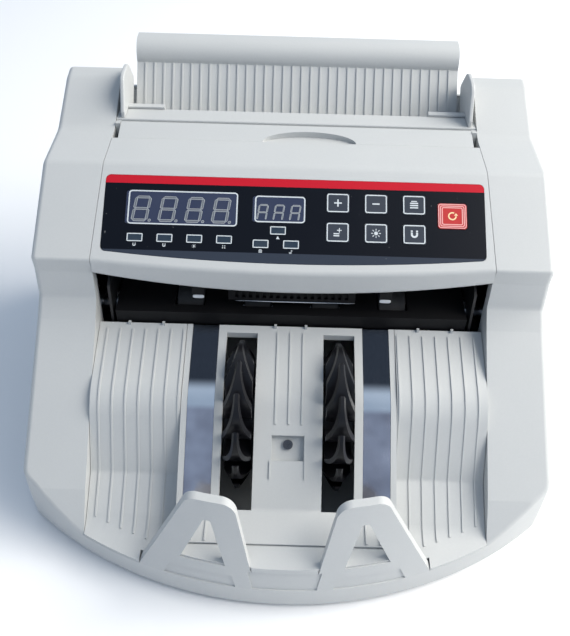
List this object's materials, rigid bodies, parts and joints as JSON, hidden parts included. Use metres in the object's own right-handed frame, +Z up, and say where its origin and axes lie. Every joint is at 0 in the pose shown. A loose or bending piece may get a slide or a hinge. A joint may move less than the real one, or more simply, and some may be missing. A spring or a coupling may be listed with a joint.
{
  "type": "banknote counter",
  "caption": "Light grey banknote counting machine with a sloping key panel, bill hopper behind, and an open stacker with impeller wheels and two arched stoppers in front",
  "frame": {"origin": "on the resting surface, at the middle of the overall width and depth", "axes": "+X to the right of the user, +Y to the back, +Z up"},
  "size_m": [0.3, 0.29, 0.193],
  "materials": {
    "body_plastic": "light grey moulded plastic with a fine satin grain",
    "dark_plastic": "black moulded plastic",
    "black_gloss": "glossy black moulded plastic",
    "membrane": "printed film, navy with a red and a blue-grey stripe",
    "window": "tinted display window",
    "key_film": "dark grey key with a pale outline and icon",
    "key_red": "red key with pale outlines",
    "light_window": "small indicator window with a pale outline",
    "display_module": "display module",
    "circuit_board": "green circuit board",
    "stainless": "polished stainless strip",
    "black_steel": "black painted sheet steel",
    "shaft_steel": "ground steel",
    "motor_metal": "dark painted metal",
    "roller_rubber": "dark rubber",
    "belt_rubber": "black rubber belt",
    "foot_rubber": "soft black rubber",
    "iron_core": "laminated iron and wound coil",
    "screw_steel": "bright plated steel"
  },
  "bodies": {
    "housing": {"base_pan": "body_plastic", "batch_display": "display_module", "case_screws": "screw_steel", "centre_stacker_plate": "body_plastic", "console": "body_plastic", "count_display": "display_module", "cross_bar": "body_plastic", "display_board": "circuit_board", "display_windows": "window", "drive_belt": "belt_rubber", "drive_motor": "motor_metal", "front_stoppers": "body_plastic", "guide_strips": "stainless", "hopper_plate": "body_plastic", "impeller_belt": "belt_rubber", "keypad_membrane": "membrane", "left_cover": "body_plastic", "left_side_frame": "black_steel", "left_stacker_plate": "body_plastic", "lid_pins": "shaft_steel", "main_board": "circuit_board", "note_sensors": "dark_plastic", "pickup_belt": "belt_rubber", "power_inlet": "dark_plastic", "rear_panel": "body_plastic", "right_cover": "body_plastic", "right_side_frame": "black_steel", "right_stacker_plate": "body_plastic", "rubber_feet": "foot_rubber", "sensor_bar": "dark_plastic", "separator_block": "dark_plastic", "shaft_bearings": "shaft_steel", "status_lights": "light_window", "throat_liner": "dark_plastic", "tie_rods": "shaft_steel", "transformer": "iron_core"},
    "lid": {"top_lid": "body_plastic"},
    "impellers": {"left_impeller": "black_gloss", "right_impeller": "black_gloss", "impeller_shaft": "shaft_steel"},
    "output_drive": {"output_shaft": "shaft_steel", "output_rollers": "roller_rubber"},
    "feed_drive": {"feed_shaft": "shaft_steel", "feed_rollers": "roller_rubber", "feed_pulley": "dark_plastic"},
    "pickup_drive": {"pickup_shaft": "shaft_steel", "pickup_rollers": "roller_rubber"},
    "motor_rotor": {"motor_pulley": "shaft_steel"},
    "pinch": {"pinch_rollers": "roller_rubber"},
    "left_guide": {"left_note_guide": "body_plastic"},
    "right_guide": {"right_note_guide": "body_plastic"},
    "knob": {"thickness_knob": "dark_plastic"},
    "rocker": {"rocker_switch": "black_gloss"},
    "button_add": {"key_add": "key_film"},
    "button_uv": {"key_uv": "key_film"},
    "button_mg": {"key_mg": "key_film"},
    "button_plus": {"key_plus": "key_film"},
    "button_minus": {"key_minus": "key_film"},
    "button_batch": {"key_batch": "key_film"},
    "button_restart": {"key_restart": "key_red"}
  },
  "joints": [
    {"name": "feed_spin", "type": "hinge", "parent": "housing", "child": "feed_drive", "pos_m": [0, 0.058, 0.134], "axis": [1, 0, 0], "continuous": true},
    {"name": "output_spin", "type": "hinge", "parent": "housing", "child": "output_drive", "pos_m": [0, 0.005, 0.086], "axis": [1, 0, 0], "continuous": true},
    {"name": "impeller_spin", "type": "hinge", "parent": "housing", "child": "impellers", "pos_m": [0, -0.0525, 0.0532], "axis": [1, 0, 0], "continuous": true},
    {"name": "pickup_spin", "type": "hinge", "parent": "housing", "child": "pickup_drive", "pos_m": [0, 0.10225, 0.13581], "axis": [1, 0, 0], "continuous": true},
    {"name": "motor_spin", "type": "hinge", "parent": "housing", "child": "motor_rotor", "pos_m": [0, 0.04, 0.058], "axis": [1, 0, 0], "continuous": true},
    {"name": "pinch_spin", "type": "hinge", "parent": "housing", "child": "pinch", "pos_m": [0, 0.005, 0.107], "axis": [1, 0, 0], "continuous": true},
    {"name": "lid_hinge", "type": "hinge", "parent": "housing", "child": "lid", "pos_m": [0, 0.0795, 0.1643], "axis": [-1, 0, 0], "range_deg": [0, 75]},
    {"name": "left_guide_slide", "type": "slide", "parent": "housing", "child": "left_guide", "axis": [1, 0, 0], "range_m": [0, 0.025]},
    {"name": "right_guide_slide", "type": "slide", "parent": "housing", "child": "right_guide", "axis": [-1, 0, 0], "range_m": [0, 0.025]},
    {"name": "thickness_turn", "type": "hinge", "parent": "housing", "child": "knob", "pos_m": [0, 0.127, 0.118], "axis": [0, 1, 0], "range_deg": [-170, 170]},
    {"name": "switch_rock", "type": "hinge", "parent": "housing", "child": "rocker", "pos_m": [0.072, 0.1235, 0.078], "axis": [1, 0, 0], "range_deg": [-10, 10]},
    {"name": "add_press", "type": "slide", "parent": "housing", "child": "button_add", "axis": [0, 0.5269, -0.8499], "range_m": [0, 0.0004], "stiffness_N_per_m": 3750},
    {"name": "uv_press", "type": "slide", "parent": "housing", "child": "button_uv", "axis": [0, 0.5269, -0.8499], "range_m": [0, 0.0004], "stiffness_N_per_m": 3750},
    {"name": "mg_press", "type": "slide", "parent": "housing", "child": "button_mg", "axis": [0, 0.5269, -0.8499], "range_m": [0, 0.0004], "stiffness_N_per_m": 3750},
    {"name": "plus_press", "type": "slide", "parent": "housing", "child": "button_plus", "axis": [0, 0.5269, -0.8499], "range_m": [0, 0.0004], "stiffness_N_per_m": 3750},
    {"name": "minus_press", "type": "slide", "parent": "housing", "child": "button_minus", "axis": [0, 0.5269, -0.8499], "range_m": [0, 0.0004], "stiffness_N_per_m": 3750},
    {"name": "batch_press", "type": "slide", "parent": "housing", "child": "button_batch", "axis": [0, 0.5269, -0.8499], "range_m": [0, 0.0004], "stiffness_N_per_m": 3750},
    {"name": "restart_press", "type": "slide", "parent": "housing", "child": "button_restart", "axis": [0, 0.5269, -0.8499], "range_m": [0, 0.0004], "stiffness_N_per_m": 3750}
  ],
  "couplings": [
    {"joint": "output_spin", "follows": "feed_spin", "ratio": 2},
    {"joint": "impeller_spin", "follows": "feed_spin", "ratio": 1.6364},
    {"joint": "pickup_spin", "follows": "feed_spin", "ratio": 1.2857},
    {"joint": "motor_spin", "follows": "feed_spin", "ratio": 2.5714},
    {"joint": "pinch_spin", "follows": "feed_spin", "ratio": -3.4211}
  ]
}
